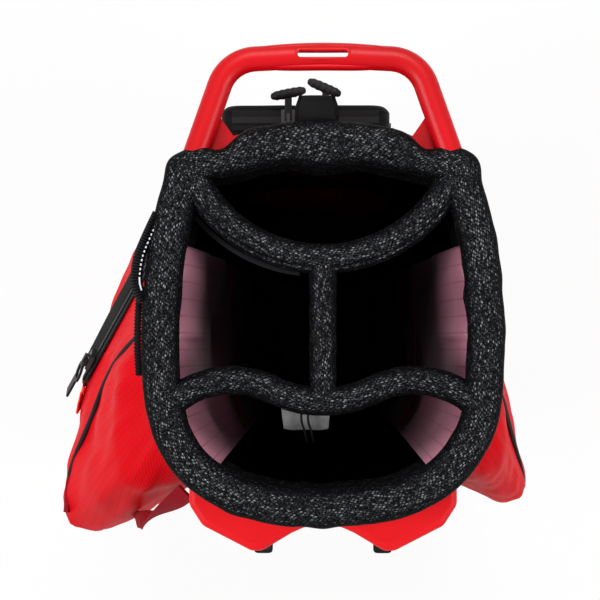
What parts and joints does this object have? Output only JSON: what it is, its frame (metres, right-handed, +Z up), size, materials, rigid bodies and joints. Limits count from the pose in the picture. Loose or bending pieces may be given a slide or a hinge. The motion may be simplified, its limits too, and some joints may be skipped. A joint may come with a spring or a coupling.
{
  "type": "golf stand bag",
  "caption": "Upright golf bag with a padded divided top, moulded carry handle, zipped side pockets and sprung folding legs worked by a tilting base foot.",
  "frame": {"origin": "centre of the flat bottom of the base cup", "axes": "+Z up the bag, +Y towards the carry handle, -Y towards the legs and straps"},
  "size_m": [0.3558, 0.344, 0.862],
  "materials": {
    "red_plastic": "gloss",
    "red_satin": "satin",
    "black_mesh": "air mesh",
    "red_fabric": "fine ripstop",
    "black_fabric": "woven",
    "mauve_lining": "ripstop",
    "black_plastic": "moulded",
    "leg_tube": "anodised",
    "rod_steel": "satin",
    "rubber": "matt",
    "red_webbing": "woven",
    "black_webbing": "grosgrain",
    "zip_black": "coil",
    "slider_metal": "satin",
    "white_label": "woven"
  },
  "bodies": {
    "bag": {"base_cup": "black_plastic", "foot_hinge_pin": "rod_steel", "spine_panel": "black_fabric", "rear_panel": "black_fabric", "left_panel": "black_fabric", "right_panel": "black_fabric", "lining_left": "mauve_lining", "lining_right": "mauve_lining", "stays": "leg_tube", "divider_sheet_rear": "black_fabric", "divider_sheet_front": "black_fabric", "divider_sheet_centre": "black_fabric", "divider_pad_rear": "black_mesh", "divider_pad_front": "black_mesh", "divider_pad_centre": "black_mesh", "top_frame": "red_plastic", "collar_pad_rear": "black_mesh", "collar_pad_front": "black_mesh", "leg_cover": "red_satin", "leg_pins": "rod_steel", "hinge_block_left": "black_plastic", "hinge_block_right": "black_plastic", "left_pocket": "red_fabric", "right_pocket": "red_fabric", "ball_pocket": "red_fabric", "rear_pocket": "red_fabric", "left_zip": "zip_black", "right_zip": "zip_black", "ball_zip": "zip_black", "rear_zip": "zip_black", "hip_pad": "black_mesh", "strap_pad_left": "black_fabric", "strap_pad_right": "black_fabric", "strap_webbing": "black_webbing", "strap_buckles": "black_plastic", "side_loop": "black_webbing", "rear_loop": "black_webbing", "inner_label": "white_label", "side_webbing": "red_webbing"},
    "base_foot": {"base_foot": "black_plastic"},
    "left_leg": {"left_leg_knuckle": "black_plastic", "left_leg_tube": "leg_tube", "left_leg_foot": "rubber", "left_rod_clip": "black_plastic"},
    "left_rod": {"left_push_rod": "rod_steel"},
    "right_leg": {"right_leg_knuckle": "black_plastic", "right_leg_tube": "leg_tube", "right_leg_foot": "rubber", "right_rod_clip": "black_plastic"},
    "right_rod": {"right_push_rod": "rod_steel"},
    "left_slider": {"left_slider": "slider_metal"},
    "left_pull": {"left_pull": "black_plastic"},
    "right_slider": {"right_slider": "slider_metal"},
    "right_pull": {"right_pull": "black_plastic"},
    "ball_slider": {"ball_slider": "slider_metal"},
    "ball_pull": {"ball_pull": "black_plastic"},
    "rear_slider_a": {"rear_slider_a": "slider_metal"},
    "rear_pull_a": {"rear_pull_a": "black_plastic"},
    "rear_slider_b": {"rear_slider_b": "slider_metal"},
    "rear_pull_b": {"rear_pull_b": "black_plastic"}
  },
  "joints": [
    {"name": "left_leg_swing", "type": "hinge", "parent": "bag", "child": "left_leg", "pos_m": [-0.0603, -0.1317, 0.762], "axis": [-0.8829, 0.4695, 0], "range_deg": [0, 30], "stiffness_Nm_per_rad": 0.6, "springref_deg": -5.73},
    {"name": "left_rod_swing", "type": "hinge", "parent": "left_leg", "child": "left_rod", "pos_m": [-0.0603, -0.1317, 0.592], "axis": [0.8829, -0.4695, 0], "range_deg": [0, 39.3]},
    {"name": "right_leg_swing", "type": "hinge", "parent": "bag", "child": "right_leg", "pos_m": [0.0603, -0.1317, 0.762], "axis": [-0.8829, -0.4695, 0], "range_deg": [0, 30], "stiffness_Nm_per_rad": 0.6, "springref_deg": -5.73},
    {"name": "right_rod_swing", "type": "hinge", "parent": "right_leg", "child": "right_rod", "pos_m": [0.0603, -0.1317, 0.592], "axis": [0.8829, 0.4695, 0], "range_deg": [0, 39.3]},
    {"name": "foot_tilt", "type": "hinge", "parent": "bag", "child": "base_foot", "pos_m": [0, -0.04, 0.007], "axis": [-1, 0, 0], "range_deg": [0, 18.1]},
    {"name": "left_slider_travel", "type": "slide", "parent": "bag", "child": "left_slider", "axis": [0.4211, 0.6303, 0.6522], "range_m": [0, 0.105]},
    {"name": "left_pull_swing", "type": "hinge", "parent": "left_slider", "child": "left_pull", "pos_m": [-0.17797, -0.0192, 0.6585], "axis": [0.0261, 0.7104, -0.7034], "range_deg": [0, 150]},
    {"name": "right_slider_travel", "type": "slide", "parent": "bag", "child": "right_slider", "axis": [0, 0, -1], "range_m": [0, 0.3]},
    {"name": "right_pull_swing", "type": "hinge", "parent": "right_slider", "child": "right_pull", "pos_m": [0.14434, -0.03785, 0.53], "axis": [0.283, -0.9591, 0], "range_deg": [0, 150]},
    {"name": "ball_slider_travel", "type": "slide", "parent": "bag", "child": "ball_slider", "axis": [0, 0, -1], "range_m": [0, 0.3]},
    {"name": "ball_pull_swing", "type": "hinge", "parent": "ball_slider", "child": "ball_pull", "pos_m": [0.054, 0.1846, 0.422], "axis": [1, 0, 0], "range_deg": [0, 150]},
    {"name": "rear_slider_a_travel", "type": "slide", "parent": "bag", "child": "rear_slider_a", "axis": [1, 0, 0], "range_m": [-0.03, 0]},
    {"name": "rear_pull_a_swing", "type": "hinge", "parent": "rear_slider_a", "child": "rear_pull_a", "pos_m": [-0.024, 0.147, 0.7826], "axis": [1, 0, 0], "range_deg": [0, 110]},
    {"name": "rear_slider_b_travel", "type": "slide", "parent": "bag", "child": "rear_slider_b", "axis": [1, 0, 0], "range_m": [0, 0.028]},
    {"name": "rear_pull_b_swing", "type": "hinge", "parent": "rear_slider_b", "child": "rear_pull_b", "pos_m": [0.002, 0.147, 0.7826], "axis": [1, 0, 0], "range_deg": [0, 110]}
  ],
  "couplings": [
    {"joint": "right_leg_swing", "follows": "left_leg_swing", "ratio": 1},
    {"joint": "left_rod_swing", "follows": "left_leg_swing", "ratio": 1.3053},
    {"joint": "right_rod_swing", "follows": "left_leg_swing", "ratio": 1.3053},
    {"joint": "foot_tilt", "follows": "left_leg_swing", "ratio": 0.6}
  ]
}
